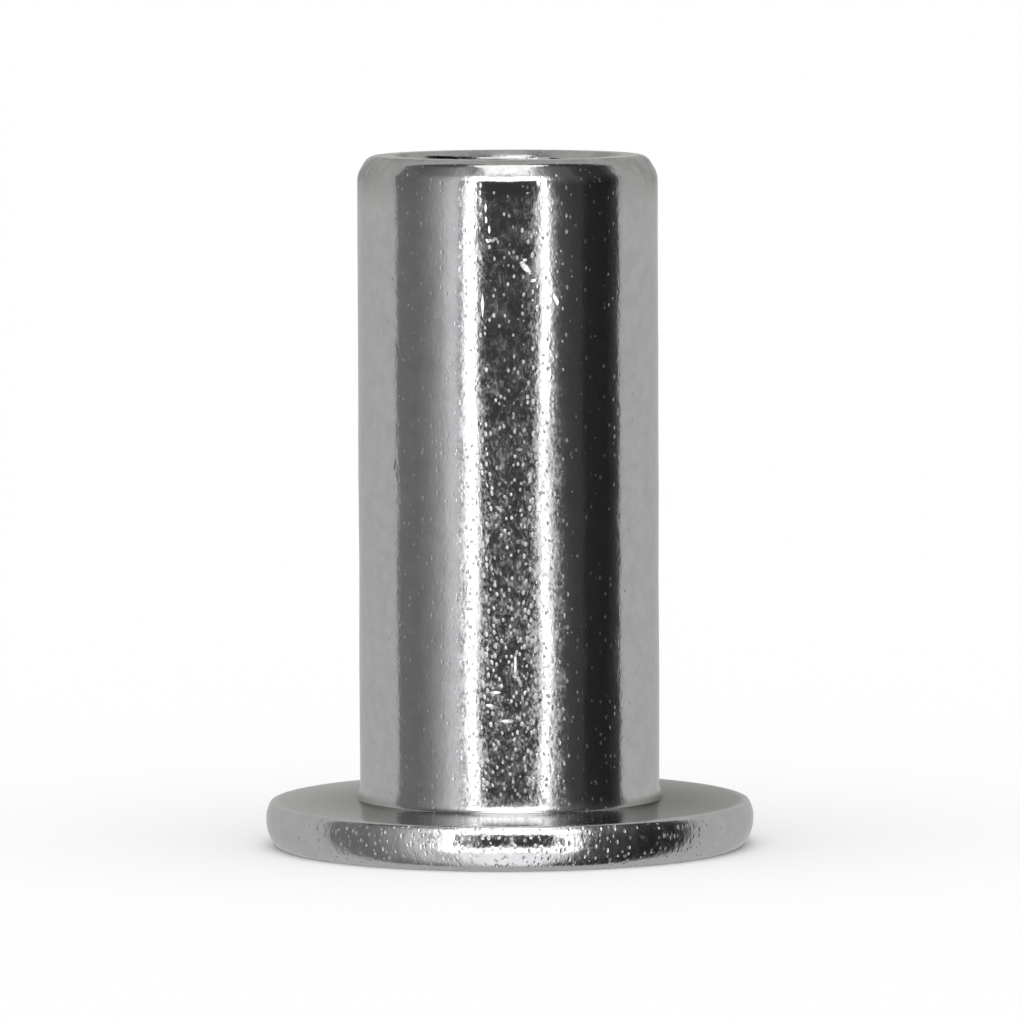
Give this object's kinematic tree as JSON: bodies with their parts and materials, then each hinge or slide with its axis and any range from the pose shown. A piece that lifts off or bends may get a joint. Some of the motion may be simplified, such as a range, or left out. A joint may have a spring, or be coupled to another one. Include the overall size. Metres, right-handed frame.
{
  "type": "rivet nut",
  "caption": "Flat-head rivet nut with a smooth round body, a thin folding sleeve and a threaded free end.",
  "frame": {"origin": "centre of the head's outer face, on the axis", "axes": "+Z along the axis, from the head to the threaded free end"},
  "size_m": [0.0114, 0.0114, 0.0161],
  "materials": {
    "zinc_plated_steel": "satin"
  },
  "bodies": {
    "root": {"rivet_nut": "zinc_plated_steel"}
  },
  "joints": []
}
